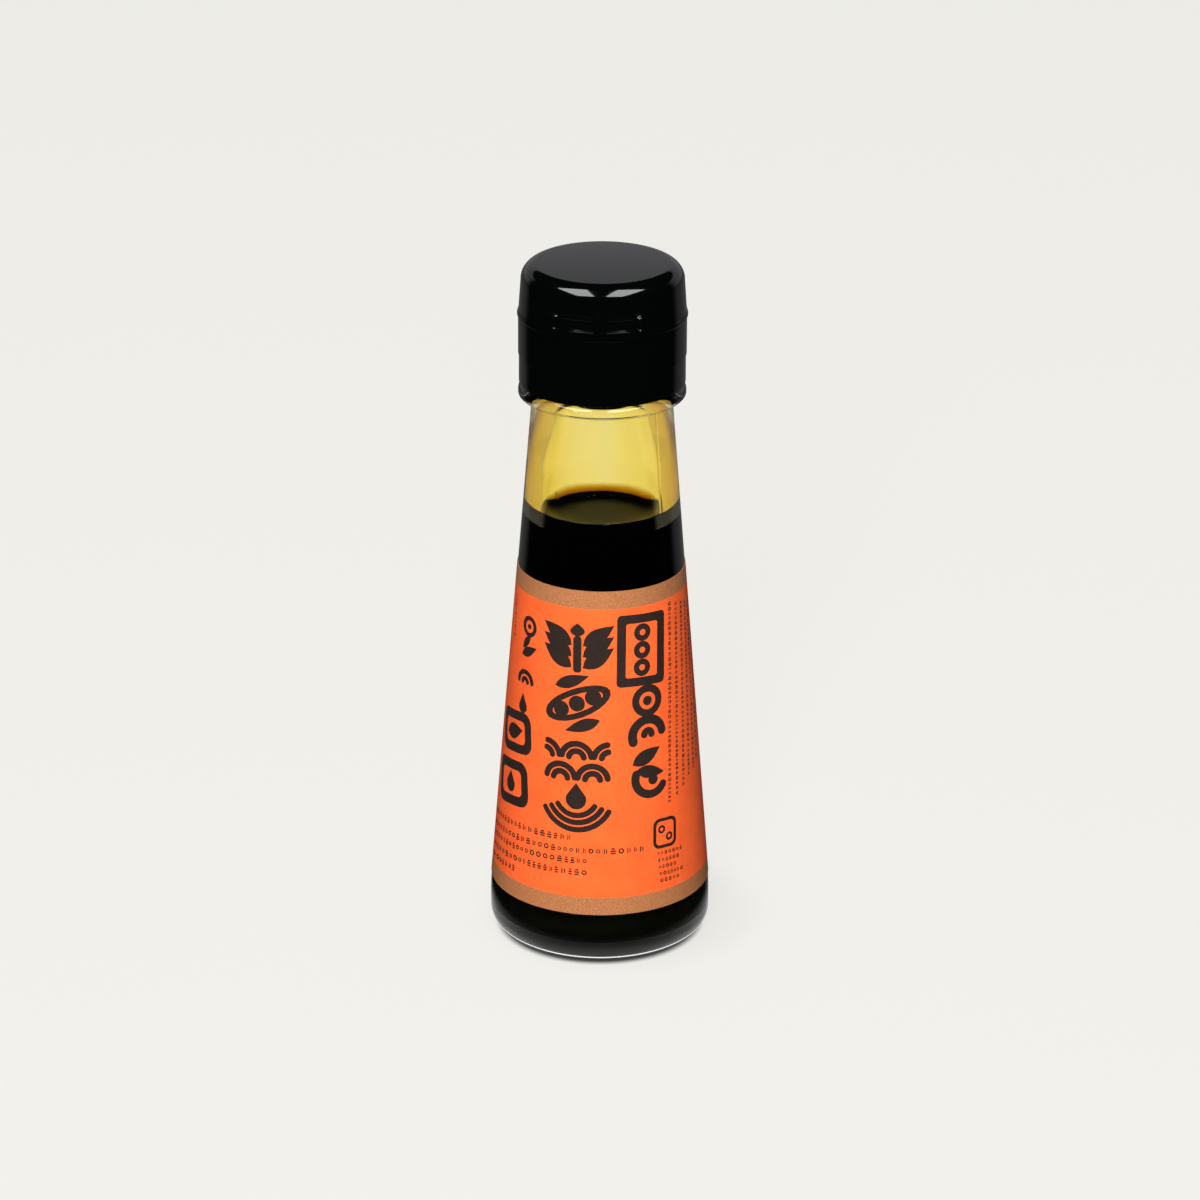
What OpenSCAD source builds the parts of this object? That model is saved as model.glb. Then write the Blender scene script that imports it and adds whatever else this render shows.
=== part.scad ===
// Small table bottle of soy sauce: a conical clear glass bottle with a thick heel, filled to
// the middle of its neck, a wrap-round paper label and a shut flip-top cap.
// Origin: centre of the circle it stands on. +Z runs up the bottle, -Y is the side of the
// cap's thumb tab.

/* [Glass] */
// Slope of the cone: how much the radius shrinks for each millimetre of height
cone_slope = 0.0797; // [0.05:0.001:0.09]
// Outer radius of the short upright band above the heel
heel_r = 24.5; // [22:0.1:27]
// Rounding of the heel
heel_fillet = 4.9; // [3:0.1:6.5]
// Rounding between the upright band and the cone
shoulder_blend_r = 60; // [20:1:80]
// Thickness of the glass wall at the foot, measured across the axis
wall_foot = 2.3; // [1.8:0.1:2.8]
// Thickness of the glass wall at the collar, measured across the axis
wall_collar = 4.1; // [3.4:0.1:4.5]
// Thickness of the glass floor where it meets the wall
floor_t = 4.6; // [3.5:0.1:7]
// Rounding between the wall and the floor inside
floor_fillet = 3.5; // [2:0.1:7]
// Height of the hollow under the base
punt_h = 1.6; // [0.5:0.1:2.5]
// Inner radius of the flat ring that the bottle stands on
contact_inner_r = 17.2; // [14:0.1:17.5]

/* [Neck] */
// Height of the underside of the glass collar below the cap
collar_z = 126.4; // [115:0.1:130]
// Height of the glass collar itself
collar_h = 2.8; // [2:0.1:4]
// Outer radius of the glass collar
collar_r = 18.2; // [17.5:0.1:20]
// Rounding of the collar's lower edge
collar_low_fillet = 0.4; // [0.2:0.1:0.8]
// Rounding of the collar's upper edge
collar_top_fillet = 1.9; // [0.5:0.1:1.9]
// Outer radius of the plain glass ring inside the cap
finish_r = 14.6; // [14.2:0.1:15]
// Radius of the mouth and of the straight bore below it
mouth_r = 10; // [9:0.1:10.8]
// Height at which the inside starts to narrow towards the bore
narrow_z = 110; // [102:1:113]
// Height at which the straight bore starts
bore_z = 126; // [118:1:127]
// Height of the mouth's rim above the collar
finish_h = 11.8; // [8:0.1:12]

/* [Soy sauce] */
// Height of the liquid's level surface
fill_z = 98.9; // [60:0.1:99]
// How far the liquid climbs the wall at its edge
meniscus_rise = 2.4; // [0.5:0.1:3]
// How far in from the wall the climb has died away to a third
meniscus_reach = 1.7; // [0.8:0.1:2.2]

/* [Label] */
// Height of the label's lower edge
label_z = 12.7; // [12:0.1:20]
// Height of the label, lower edge to upper edge
label_h = 74.5; // [40:0.5:80]
// Thickness of the paper
label_t = 0.15; // [0.1:0.01:0.3]
// Angle that the label leaves bare at the back
label_gap = 30; // [5:1:90]

/* [Cap] */
// Radius of the skirt at its lower edge
skirt_low_r = 18.05; // [17.5:0.05:19]
// Radius of the skirt above its fine step
skirt_r = 18.2; // [18.1:0.05:19.2]
// Height of the skirt, lower edge to parting line
skirt_h = 15.1; // [13:0.1:18]
// Height of the fine step above the skirt's lower edge
step_up = 6.5; // [3:0.1:11]
// How far the skirt overhangs at the step
step_out = 0.18; // [0.1:0.02:0.4]

/* [Lid] */
// Radius of the lid's lip at the parting line
lip_r = 18.42; // [18.25:0.01:19]
// Height over which the lip flares out
lip_h = 1.7; // [1:0.1:3]
// Radius of the lid just above its flared lip
lid_low_r = 18.08; // [17.5:0.01:18.2]
// Radius of the lid where its top edge starts to round
lid_high_r = 17.65; // [17:0.01:18]
// Rounding of the lid's top edge
lid_fillet = 3.55; // [2:0.05:5]
// Height of the lid, parting line to crown
lid_h = 11.9; // [9:0.1:16]
// How much the top bulges over its own radius
crown_h = 0.35; // [0.1:0.05:1]

/* [Thumb tab] */
// Angle that the tab spans round the lid
tab_angle = 60; // [30:1:80]
// How far the tab stands out beyond the lip
tab_out = 1.1; // [0.6:0.1:2]
// Height of the tab's front face
tab_face_h = 2.2; // [1.5:0.1:3]
// Height of the tab where it meets the lid's side
tab_root_h = 4.9; // [3.5:0.1:6]
// Depth of the scoop in the tab's sloping top
scoop_d = 0.7; // [0.3:0.1:1]
// Angle of the solid wall at each end of the scoop
scoop_end_angle = 4; // [2:0.5:8]

/* [Hidden] */
$fn = 96;

// The cone's outer surface is the line r = cone_r0 - cone_slope * z, set so that the upright
// band and the cone meet at band_z.
band_z = 9.3;
cone_r0 = heel_r + cone_slope * band_z;
cone_angle = atan(cone_slope);
blend_half = shoulder_blend_r * tan(cone_angle / 2);

collar_top_z = collar_z + collar_h;
rim_z = collar_top_z + finish_h;
rim_fillet = 0.6;
crease_fillet = 0.4;

parting_z = collar_top_z + skirt_h;
finish_clearance = 0.1;
skirt_chamfer = 0.3;
part_chamfer = 0.25;
lip_edge = 0.35;

function cone_r(z) = cone_r0 - cone_slope * z;
function wall(z) = wall_foot + (wall_collar - wall_foot) * z / collar_z;
function inner_r(z) = cone_r(z) - wall(z);

// Points along an arc about [x, z] from angle a0 to angle a1.
function arc(x, z, r, a0, a1, n = 8) =
    [for (i = [0:n]) let (a = a0 + (a1 - a0) * i / n) [x + r * cos(a), z + r * sin(a)]];

// A shallow bulge of height h over radius r, from the axis out to its edge at height z.
function bulge(z, r, h, n = 10) =
    let (sphere_r = (r * r + h * h) / (2 * h))
    arc(0, z + h - sphere_r, sphere_r, 90, acos(r / sphere_r), n);

function reversed(points) = [for (i = [len(points) - 1:-1:0]) points[i]];

// Where the wall's inner line and the floor meet, and the rounding between them.
wall_growth = (wall_collar - wall_foot) / collar_z;
inner_angle = atan(cone_slope + wall_growth);
floor_corner_r = inner_r(floor_t);
floor_turn = floor_fillet / tan((90 - inner_angle) / 2);
floor_flat_r = floor_corner_r - floor_turn;
floor_rise = 0.8;

// Inside of the bottle from the axis up to the top of its rounded lower corner.
function floor_points() = concat(
    bulge(floor_t, floor_flat_r, floor_rise),
    arc(floor_flat_r, floor_t + floor_fillet, floor_fillet, -90, inner_angle, 10)
);

function underside_points() = concat(
    bulge(0, contact_inner_r, punt_h),
    arc(heel_r - heel_fillet, heel_fillet, heel_fillet, -90, 0)
);

function band_points() =
    arc(heel_r - shoulder_blend_r, band_z - blend_half, shoulder_blend_r, 0, cone_angle);

crease_r = cone_r(collar_z - crease_fillet) + crease_fillet;

function collar_points() = concat(
    arc(crease_r, collar_z - crease_fillet, crease_fillet, 180, 90, 4),
    arc(collar_r - collar_low_fillet, collar_z + collar_low_fillet, collar_low_fillet, -90, 0, 4),
    arc(collar_r - collar_top_fillet, collar_top_z - collar_top_fillet, collar_top_fillet, 0, 90, 8)
);

function finish_points() = concat(
    [[finish_r, collar_top_z]],
    arc(finish_r - rim_fillet, rim_z - rim_fillet, rim_fillet, 0, 90, 4),
    arc(mouth_r + rim_fillet, rim_z - rim_fillet, rim_fillet, 90, 180, 4)
);

// Inside of the neck, from the straight bore down to where the inner cone takes over.
function narrowing_points(n = 12) =
    [for (i = [0:n])
        let (share = 1 - i / n,
             z = narrow_z + (bore_z - narrow_z) * share,
             narrowed = share * share * (3 - 2 * share))
        [inner_r(z) + (mouth_r - inner_r(z)) * narrowed, z]];

module bottle() {
    color([0.86, 0.9, 0.88, 0.4])
        rotate_extrude()
            polygon(concat(
                underside_points(),
                band_points(),
                collar_points(),
                finish_points(),
                narrowing_points(),
                reversed(floor_points())
            ));
}

// The liquid's upper surface from the wall in to the axis, falling away from the wall.
function meniscus_points(n = 8) =
    [for (i = [0:n])
        let (from_wall = 4 * meniscus_reach * i / n, edge_z = fill_z + meniscus_rise)
        [inner_r(edge_z) - from_wall,
         fill_z + meniscus_rise * (exp(-from_wall / meniscus_reach) - exp(-4) * i / n)]];

module soy_sauce() {
    color([0.1, 0.05, 0.03])
        rotate_extrude()
            polygon(concat(floor_points(), meniscus_points(), [[0, fill_z]]));
}

module label() {
    label_top_z = label_z + label_h;
    start_angle = 90 + label_gap / 2;
    color([0.86, 0.36, 0.19])
        rotate([0, 0, start_angle])
            rotate_extrude(angle = 360 - label_gap)
                polygon([
                    [cone_r(label_z), label_z],
                    [cone_r(label_z) + label_t, label_z],
                    [cone_r(label_top_z) + label_t, label_top_z],
                    [cone_r(label_top_z), label_top_z]
                ]);
}

module cap_base() {
    step_z = collar_top_z + step_up;
    socket_r = finish_r + finish_clearance;
    color([0.06, 0.06, 0.07])
        rotate_extrude()
            polygon([
                [socket_r, collar_top_z],
                [skirt_low_r - skirt_chamfer, collar_top_z],
                [skirt_low_r, collar_top_z + skirt_chamfer],
                [skirt_r - step_out, step_z],
                [skirt_r, step_z + 0.08],
                [skirt_r, parting_z - part_chamfer],
                [skirt_r - part_chamfer, parting_z],
                [0, parting_z],
                [0, rim_z],
                [socket_r, rim_z]
            ]);
}

function lid_points() = concat(
    [[0, parting_z],
     [lip_r - lip_edge, parting_z],
     [lip_r, parting_z + lip_edge],
     [lid_low_r, parting_z + lip_h]],
    arc(lid_high_r - lid_fillet, parting_z + lid_h - crown_h - lid_fillet, lid_fillet, 0, 90, 12),
    reversed(bulge(parting_z + lid_h - crown_h, lid_high_r - lid_fillet, crown_h))
);

// A slice of a ring round the lid, centred on -Y, with the outline given by its points.
module front_slice(angle, points) {
    rotate([0, 0, -90 - angle / 2])
        rotate_extrude(angle = angle)
            polygon(points);
}

module thumb_tab() {
    tab_r = lip_r + tab_out;
    inside_r = lid_low_r - 1;
    front_slice(tab_angle, [
        [inside_r, parting_z],
        [tab_r - lip_edge, parting_z],
        [tab_r, parting_z + lip_edge],
        [tab_r, parting_z + tab_face_h],
        [lid_low_r, parting_z + tab_root_h],
        [inside_r, parting_z + tab_root_h]
    ]);
}

// The dished hollow for the thumb, open at the front above the tab's face.
module thumb_scoop() {
    tab_r = lip_r + tab_out;
    front_slice(tab_angle - 2 * scoop_end_angle, [
        [lid_low_r - scoop_d, parting_z + tab_face_h + 0.3],
        [tab_r - 0.6, parting_z + tab_face_h - 0.2],
        [tab_r + 1, parting_z + tab_face_h - 0.2],
        [tab_r + 1, parting_z + tab_root_h + 1],
        [lid_low_r + 0.3, parting_z + tab_root_h + 1],
        [lid_low_r - 0.1, parting_z + tab_root_h - 0.5]
    ]);
}

module cap_lid() {
    color([0.06, 0.06, 0.07])
        difference() {
            union() {
                rotate_extrude() polygon(lid_points());
                thumb_tab();
            }
            thumb_scoop();
        }
}

bottle();
soy_sauce();
label();
cap_base();
cap_lid();
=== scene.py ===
# %% [markdown]
# A small table bottle of soy sauce. The lesson starts with what stands round the bottle: the
# camera, the floor and the lights of a studio. Then come a few helpers for outlines, and after
# that each piece with its finish: clear glass, the dark sauce, the amber film that the sauce
# leaves on the glass, the printed paper label, and the black flip-top cap.
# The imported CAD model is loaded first. It is a fixed frame that gives every height and radius.

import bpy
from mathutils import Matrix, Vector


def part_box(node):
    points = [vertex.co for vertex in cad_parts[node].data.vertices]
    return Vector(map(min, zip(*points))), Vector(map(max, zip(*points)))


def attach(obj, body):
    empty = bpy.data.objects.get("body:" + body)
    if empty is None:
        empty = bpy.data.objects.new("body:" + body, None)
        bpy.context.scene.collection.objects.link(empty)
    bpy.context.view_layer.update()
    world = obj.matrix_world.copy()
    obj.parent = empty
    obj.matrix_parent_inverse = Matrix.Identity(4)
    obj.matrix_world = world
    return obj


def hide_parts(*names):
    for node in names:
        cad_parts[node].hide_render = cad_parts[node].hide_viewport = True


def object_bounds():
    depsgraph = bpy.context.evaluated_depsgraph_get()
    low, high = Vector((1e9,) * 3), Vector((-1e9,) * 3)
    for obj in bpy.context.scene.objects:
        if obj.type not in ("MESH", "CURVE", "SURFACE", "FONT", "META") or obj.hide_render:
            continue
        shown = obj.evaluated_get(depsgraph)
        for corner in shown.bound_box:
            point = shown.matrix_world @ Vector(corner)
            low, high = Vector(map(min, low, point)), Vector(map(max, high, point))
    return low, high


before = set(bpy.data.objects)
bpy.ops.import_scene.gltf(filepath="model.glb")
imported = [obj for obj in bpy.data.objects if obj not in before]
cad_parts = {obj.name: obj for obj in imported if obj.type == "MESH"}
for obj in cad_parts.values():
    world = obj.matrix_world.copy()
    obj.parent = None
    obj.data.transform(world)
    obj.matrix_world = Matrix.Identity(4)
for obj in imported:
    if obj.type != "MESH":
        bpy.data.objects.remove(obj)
cad_low, cad_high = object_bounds()
print("CAD box", [round(v, 4) for v in (*cad_low, *cad_high)])

# %% Libraries and units
import math
import random

import bmesh
import bpy
from mathutils import Matrix, Vector, noise

MM = 0.001


def height_range(node):
    """Lowest and highest point of a CAD node, in millimetres."""
    low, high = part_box(node)
    return low.z / MM, high.z / MM


def widest(node):
    """Largest radius of a round CAD node, in millimetres."""
    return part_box(node)[1].x / MM


total_height = cad_high.z / MM
print("height", round(total_height, 1), "mm, base radius", round(widest("bottle"), 2), "mm")

# %% [markdown]
# A small pack is usually taken from a long way off through a long lens, so that its upright edges
# hardly converge. This camera looks down at about 22 degrees. It could be placed by typing in a
# position, but here it is worked out from the bottle's middle, so it would follow a bottle of
# another size. A real tripod is never quite level, which is the small roll.

# %% Camera
CAMERA_DISTANCE = 1.1
CAMERA_TURN = math.radians(4.0)
CAMERA_DROP = math.radians(22.2)
CAMERA_ROLL = math.radians(0.28)
LEFT_OF_BOTTLE = 0.00026

camera_data = bpy.data.cameras.new("studio_camera")
camera_data.sensor_width = 36
camera_data.lens = 150
camera_data.clip_start = 0.05
camera_data.clip_end = 100
camera = bpy.data.objects.new("studio_camera", camera_data)
bpy.context.scene.collection.objects.link(camera)
bpy.context.scene.camera = camera

aim = Vector((0, 0, 0.498 * cad_high.z))
backwards = Vector((
    math.sin(CAMERA_TURN) * math.cos(CAMERA_DROP),
    -math.cos(CAMERA_TURN) * math.cos(CAMERA_DROP),
    math.sin(CAMERA_DROP),
))
sideways = Vector((math.cos(CAMERA_TURN), math.sin(CAMERA_TURN), 0))
camera.matrix_world = (
    Matrix.Translation(aim + CAMERA_DISTANCE * backwards - LEFT_OF_BOTTLE * sideways)
    @ backwards.to_track_quat("Z", "Y").to_matrix().to_4x4()
    @ Matrix.Rotation(CAMERA_ROLL, 4, "Z")
)
print("camera", [round(v, 3) for v in camera.matrix_world.translation])

# %% [markdown]
# Shader maths reads best as plain arithmetic. One small class wraps the output of a node. Adding
# or multiplying two of them puts a Math node in the tree, and every other node comes from one
# method that takes the node's type, its settings and what its sockets get. Colours never pass
# through a Math node, which would turn them grey: they are blended by a Mix node instead.

# %% Shader arithmetic


def socket_of(sockets, key):
    """A socket by its place, its identifier or its name."""
    if isinstance(key, int):
        return sockets[key]
    named = [s for s in sockets if s.identifier == key] or [s for s in sockets if s.name == key]
    return named[0]


class Shade:
    """The output of a shader node, with arithmetic."""

    def __init__(self, tree, output=None):
        self.tree = tree
        self.output = output

    def node(self, kind, settings=None, sockets=None, output=0):
        """Add a node: settings are set first, then sockets get a value or a link."""
        made = self.tree.nodes.new(kind)
        for name, value in (settings or {}).items():
            if name == "stops":
                place_stops(made.color_ramp, value)
            else:
                setattr(made, name, value)
        for key, value in (sockets or {}).items():
            target = socket_of(made.inputs, key)
            if isinstance(value, Shade):
                self.tree.links.new(value.output, target)
            else:
                target.default_value = value
        return Shade(self.tree, socket_of(made.outputs, output))

    def math(self, operation, first, second=0.0):
        return self.node("ShaderNodeMath", {"operation": operation}, {0: first, 1: second})

    def __add__(self, other):
        return self.math("ADD", self, other)

    def __radd__(self, other):
        return self.math("ADD", other, self)

    def __sub__(self, other):
        return self.math("SUBTRACT", self, other)

    def __rsub__(self, other):
        return self.math("SUBTRACT", other, self)

    def __mul__(self, other):
        return self.math("MULTIPLY", self, other)

    def __truediv__(self, other):
        return self.math("DIVIDE", self, other)

    def __gt__(self, other):
        return self.math("GREATER_THAN", self, other)

    def larger(self, other):
        return self.math("MAXIMUM", self, other)

    def rise(self, start, end, low=0.0, high=1.0):
        """A smooth step from low to high while this value goes from start to end."""
        return self.node(
            "ShaderNodeMapRange",
            {"interpolation_type": "SMOOTHSTEP"},
            {"Value": self, "From Min": start, "From Max": end, "To Min": low, "To Max": high},
        )

    def blend(self, bottom, top):
        """A colour that goes from bottom to top as this value goes from 0 to 1."""
        return self.node(
            "ShaderNodeMix",
            {"data_type": "RGBA"},
            {"Factor_Float": self, "A_Color": bottom, "B_Color": top},
            "Result_Color",
        )

    def place(self):
        """The surface point in metres, in the bottle's own frame."""
        return self.node("ShaderNodeTexCoord", output="Object")

    def part(self, axis):
        """One coordinate of a point."""
        return self.node("ShaderNodeSeparateXYZ", sockets={0: self}, output=axis)

    def cloud(self, grain_mm, detail=2.0, roughness=0.5, stretch=(1, 1, 1)):
        """Noise between 0 and 1 at this point, whose spots are about grain_mm across."""
        at = self.node("ShaderNodeVectorMath", {"operation": "MULTIPLY"}, {0: self, 1: stretch})
        return self.node(
            "ShaderNodeTexNoise",
            sockets={
                "Vector": at, "Scale": 1 / (grain_mm * MM), "Detail": detail, "Roughness": roughness,
            },
        )

    def bump(self, depth_mm, strength=1.0):
        """A surface normal that treats this value as a relief of the given depth."""
        return self.node(
            "ShaderNodeBump",
            sockets={"Height": self, "Distance": depth_mm * MM, "Strength": strength},
        )


def place_stops(ramp, stops):
    """Give a colour ramp its stops, each a position and a colour."""
    while len(ramp.elements) > 1:
        ramp.elements.remove(ramp.elements[-1])
    for number, (position, colour) in enumerate(stops):
        element = ramp.elements[0] if number == 0 else ramp.elements.new(position)
        element.position = position
        element.color = (*colour, 1)


def new_material(name):
    """An empty node material and the Shade to build it with."""
    material = bpy.data.materials.new(name)
    material.use_nodes = True
    material.node_tree.nodes.clear()
    return material, Shade(material.node_tree)


def finish_surface(start, **values):
    """Close a material with one Principled shader. An underscore stands for a space."""
    named = {name.replace("_", " "): value for name, value in values.items()}
    volume = named.pop("Volume", None)
    surface = start.node("ShaderNodeBsdfPrincipled", sockets=named)
    sockets = {"Surface": surface}
    if volume is not None:
        sockets["Volume"] = volume
    start.tree.nodes.new("ShaderNodeOutputMaterial")
    output = start.tree.nodes[-1]
    for key, value in sockets.items():
        start.tree.links.new(value.output, output.inputs[key])


print("shader arithmetic ready")

# %% [markdown]
# The set is a pale seamless floor that fills the whole view. On a real set the floor is lit until
# it is almost white, so here most of its light is emitted and only a small share is reflected,
# which keeps a faint soft shadow. The rest of the shadow is painted into the floor's glow: a dark
# disc right under the bottle, and a soft painted shade off its right and back. A bottle of black
# sauce mirrors all that stands round it, and dark boards beside the camera keep it from turning
# grey. Real boards would also darken the floor, so this set cheats: it shows one value to rays
# that look at it, straight or through glass, a darker one to mirrored rays, and others to rays
# thrown about inside the glass and to scattered light. The values were tuned for the front view.
# From the side and from behind, the edges of the dark parts show as upright lines on the cap and
# the neck.

# %% Floor and room
PALE = (0.863, 0.855, 0.815, 1)
DARK_SIDE = (0.006, 0.0065, 0.006, 1)
BRIGHT_SIDE = (0.135, 0.135, 0.137, 1)
ROOM_ON_TOP = (0.345, 0.345, 0.36, 1)
PALE_THROUGH = (1.12, 1.11, 1.05, 1)
INSIDE_FLOOR = (0.74, 0.73, 0.70, 1)
INSIDE_ROOM = (0.62, 0.615, 0.59, 1)
BY_THE_FOOT = (0.80, 0.795, 0.78, 1)
FLOOR_BOUNCE = (0.13, 0.126, 0.118, 1)
ROOM_BOUNCE = (0.03, 0.03, 0.03, 1)
PAINTED_SHADOW_UNDER_BOTTLE = (0.06, 0.06, 0.058, 1)
BLACK = (0, 0, 0, 1)
CONTACT_SHADE_AT = (0.005, 0.006, 0)
CONTACT_SHADE = 0.075
LIT_SHARE = 0.06
FLOOR_GLOW = 0.935
FLOOR_RADIUS = 8.0


def ray_kind(start):
    """Four answers of 0 or 1: is the ray looking, mirrored, mirrored inside glass, scattered?"""
    kinds = start.node("ShaderNodeLightPath").output.node.outputs
    camera_ray, through, gloss, scattered = (
        Shade(start.tree, kinds[f"Is {kind} Ray"])
        for kind in ("Camera", "Transmission", "Glossy", "Diffuse")
    )
    bounced = Shade(start.tree, kinds["Glossy Depth"]) > 0.5
    return camera_ray.larger(through), gloss * (1 - through), through * bounced, scattered


def behind(vector, side=0.40, full=0.66):
    """1 where a point or direction lies behind the bottle, 0 beside it and in front."""
    x, y = vector.part("X"), vector.part("Y")
    length = (x * x + y * y).node("ShaderNodeMath", {"operation": "SQRT"}, {0: x * x + y * y})
    return (y / (length + 0.001)).rise(side, full)


def camera_or_glass(vector, inside, for_inside):
    """The pale set as looking rays see it. Glass swallows some light, so it is brighter through
    glass, but it is dark far to the sides, which gives clear glass its dark edges."""
    through = vector.node("ShaderNodeLightPath", output="Is Transmission Ray")
    through_colour = behind(vector, 0.30, 0.55).blend(DARK_SIDE, PALE_THROUGH)
    return inside.blend(through.blend(PALE, through_colour), for_inside)


floor_material, start = new_material("studio_floor")
looked_at, mirrored, inside, scattered = ray_kind(start)
point = start.place()
from_axis = start.node("ShaderNodeVectorMath", {"operation": "LENGTH"}, {0: point}, "Value")
# Painted shadow: the floor's glow is darkened to a dark disc right under the bottle.
painted_shadow_under_bottle = 1 - from_axis.rise(0.0212, 0.0238)
by_the_foot = 1 - from_axis.rise(0.0250, 0.0400)
for_gloss = by_the_foot.blend(behind(point).blend(DARK_SIDE, BRIGHT_SIDE), BY_THE_FOOT)
for_inside = behind(point, 0.10, 0.35).blend(DARK_SIDE, INSIDE_FLOOR)
straight = camera_or_glass(point, inside, for_inside)
colour = looked_at.blend(scattered.blend(for_gloss, FLOOR_BOUNCE), straight)
colour = painted_shadow_under_bottle.blend(colour, PAINTED_SHADOW_UNDER_BOTTLE)
# Painted shadow: the floor's glow is darkened softly off the bottle's right and back side.
shade_middle = start.node(
    "ShaderNodeVectorMath", {"operation": "DISTANCE"}, {0: point, 1: CONTACT_SHADE_AT}, "Value"
)
shaded = start.node(
    "ShaderNodeMix",
    {"data_type": "RGBA"},
    {"Factor_Float": CONTACT_SHADE, "A_Color": colour, "B_Color": BLACK},
    "Result_Color",
)
colour = shade_middle.rise(0.021, 0.036).blend(shaded, colour)
glow = start.node("ShaderNodeEmission", sockets={"Color": colour, "Strength": FLOOR_GLOW})
seen_share = (1 - mirrored) * (1 - inside) * (1 - painted_shadow_under_bottle)
paint = seen_share.blend(BLACK, (LIT_SHARE, LIT_SHARE, LIT_SHARE, 1))
matt = start.node("ShaderNodeBsdfDiffuse", sockets={"Color": paint})
both = start.node("ShaderNodeAddShader", sockets={0: glow, 1: matt})
output = start.tree.nodes.new("ShaderNodeOutputMaterial")
start.tree.links.new(both.output, output.inputs["Surface"])

floor_mesh = bmesh.new()
bmesh.ops.create_circle(floor_mesh, cap_ends=True, radius=FLOOR_RADIUS, segments=96)
floor_data = bpy.data.meshes.new("studio_floor")
floor_mesh.to_mesh(floor_data)
floor_mesh.free()
floor_data.materials.append(floor_material)
floor = bpy.data.objects.new("studio_floor", floor_data)
floor.location.z = cad_low.z
bpy.context.scene.collection.objects.link(floor)

world = bpy.data.worlds.new("studio_room")
bpy.context.scene.world = world
world.use_nodes = True
world.node_tree.nodes.clear()
start = Shade(world.node_tree)
looked_at, mirrored, inside, scattered = ray_kind(start)
direction = start.node("ShaderNodeTexCoord", output="Generated")
up = direction.part("Z")
for_gloss = (behind(direction) * (1 - up.rise(0.425, 0.445))).blend(DARK_SIDE, ROOM_ON_TOP)
low_room = behind(direction, 0.10, 0.35) * (1 - up.rise(0.25, 0.52))
for_inside = low_room.blend(DARK_SIDE, INSIDE_ROOM)
straight = camera_or_glass(direction, inside, for_inside)
colour = looked_at.blend(scattered.blend(for_gloss, ROOM_BOUNCE), straight)
backdrop = start.node("ShaderNodeBackground", sockets={"Color": colour, "Strength": 1.0})
output = start.tree.nodes.new("ShaderNodeOutputWorld")
start.tree.links.new(backdrop.output, output.inputs["Surface"])
bpy.context.scene.view_settings.view_transform = "Standard"
print("floor radius", FLOOR_RADIUS, "m")

# %% [markdown]
# Two large softboxes hang high in front of the bottle, to its left and right. Their mirror images
# are the pairs of pale windows on the lid's edge and the thumb tab, which is all they do, so they
# light no matt surface. A broad soft light near the camera gives the label its even colour. It
# isn't mirrored in the bottle, so glossy rays don't see it. A soft light from above, hidden in the
# same way, deepens the shadow at the foot.

# %% Lights


def softbox(name, place, target, width, length, watts, glossy=True, diffuse=True):
    """A rectangular area light that faces the target."""
    data = bpy.data.lights.new(name, "AREA")
    data.shape = "RECTANGLE"
    data.size = width
    data.size_y = length
    data.energy = watts
    light = bpy.data.objects.new(name, data)
    bpy.context.scene.collection.objects.link(light)
    towards = Vector(target) - Vector(place)
    light.matrix_world = (
        Matrix.Translation(place) @ towards.to_track_quat("-Z", "Y").to_matrix().to_4x4()
    )
    light.visible_camera = False
    light.visible_glossy = glossy
    light.visible_transmission = glossy
    light.visible_diffuse = diffuse
    return light


WINDOW_HEIGHT = 1.25
WINDOW_SIDE = 0.63
WINDOW_DEPTH = -0.80
WINDOW_WIDTH = 0.78
WINDOW_LENGTH = 1.4
WINDOW_WATTS = 28
for side, name in ((-1, "softbox_left"), (1, "softbox_right")):
    place = (side * WINDOW_SIDE, WINDOW_DEPTH, WINDOW_HEIGHT)
    below = (side * WINDOW_SIDE, WINDOW_DEPTH, 0)
    softbox(name, place, below, WINDOW_WIDTH, WINDOW_LENGTH, WINDOW_WATTS, diffuse=False)
softbox("key_light", (-0.05, -1.5, 0.85), (0, 0, 0.07), 0.6, 0.6, 50, glossy=False)
softbox("top_light", (0, 0.1, 1.6), (0, 0, 0), 1.2, 1.2, 12, glossy=False)

# %% [markdown]
# Nearly all of the bottle is turned about one axis, so most pieces start as an outline: a short
# list of radius and height pairs, in millimetres. Round stretches are arcs worked out by a formula.
# Sweeping the outline by hand, instead of with the Screw modifier, lets each ring be a little out
# of round, as blown glass is, and lets the lid grow its thumb tab from the same skin.

# %% Outlines and turned pieces


def arc(centre_r, centre_z, radius, first, last, steps=8):
    """Points on an arc, with its angles in degrees."""
    angles = [math.radians(first + (last - first) * i / steps) for i in range(steps + 1)]
    return [(centre_r + radius * math.cos(a), centre_z + radius * math.sin(a)) for a in angles]


def bulge(edge_z, radius, rise, steps=12):
    """A shallow dome of the given rise, from the axis out to its edge."""
    sphere = (radius**2 + rise**2) / (2 * rise)
    return arc(0, edge_z + rise - sphere, sphere, 90, math.degrees(math.acos(radius / sphere)), steps)


def fine_line(start_point, end_point, steps):
    """Points between two points of an outline, without the first."""
    (r0, z0), (r1, z1) = start_point, end_point
    return [
        (r0 + (r1 - r0) * i / steps, z0 + (z1 - z0) * i / steps) for i in range(1, steps + 1)
    ]


def between(value, start_value, end_value):
    """0 before start, 1 after end, and smooth between."""
    share = min(1.0, max(0.0, (value - start_value) / (end_value - start_value)))
    return share * share * (3 - 2 * share)


def even_angles(count, fine_spots=(), reach=3.0, fine_step=0.4):
    """Angles round the axis in degrees, closer together about the fine spots."""
    angles = {round(360 * i / count, 3) for i in range(count)}
    for spot in fine_spots:
        angles = {a for a in angles if abs((a - spot + 180) % 360 - 180) > reach}
        steps = int(2 * reach / fine_step)
        angles |= {round((spot - reach + fine_step * i) % 360, 3) for i in range(steps + 1)}
    return sorted(angles)


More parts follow.
